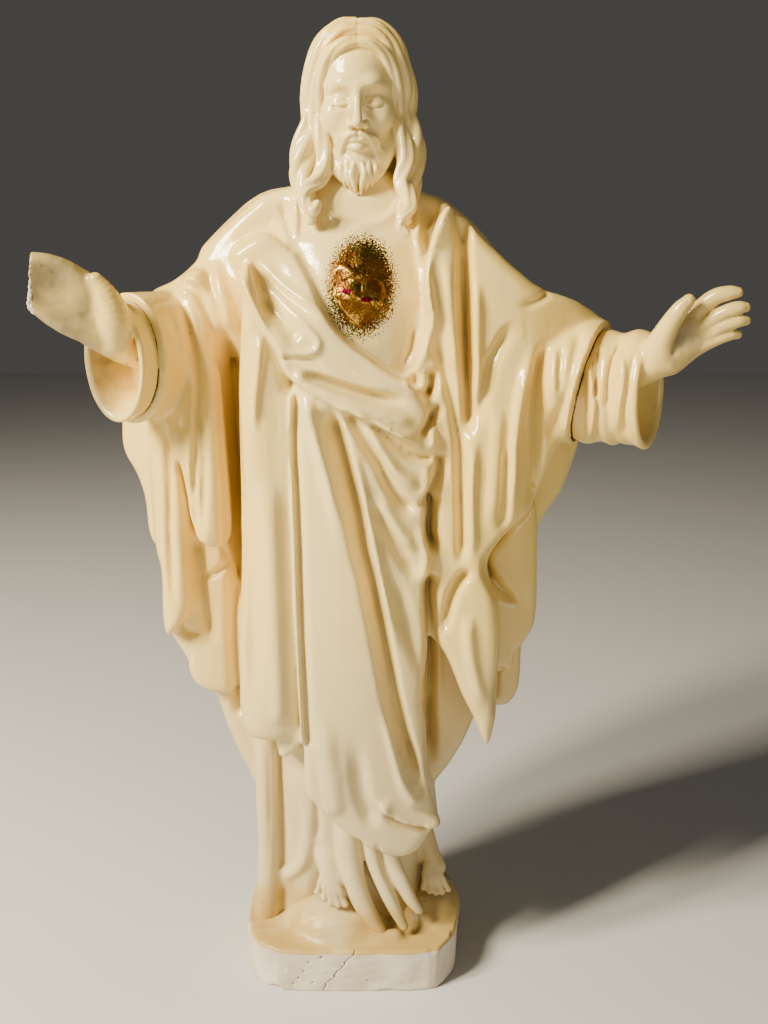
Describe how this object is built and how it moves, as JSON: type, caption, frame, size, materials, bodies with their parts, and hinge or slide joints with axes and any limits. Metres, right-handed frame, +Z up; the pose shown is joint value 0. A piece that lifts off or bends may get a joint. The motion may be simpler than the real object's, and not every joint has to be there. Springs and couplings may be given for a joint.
{
  "type": "sacred heart statue",
  "caption": "Cast plaster standing robed figure with open arms and a heart on its breast, on a low cut-cornered plinth, for display on a flat surface.",
  "frame": {"origin": "centre of the plinth's flat underside", "axes": "+Z up along the standing figure, the figure faces -Y, +X towards the figure's left hand"},
  "size_m": [0.3415, 0.1199, 0.5171],
  "materials": {
    "painted_plaster": "cream gloss enamel over cast plaster, yellowed and worn"
  },
  "bodies": {
    "root": {"figure_and_plinth": "painted_plaster", "right_forearm": "painted_plaster", "left_forearm": "painted_plaster"}
  },
  "joints": []
}
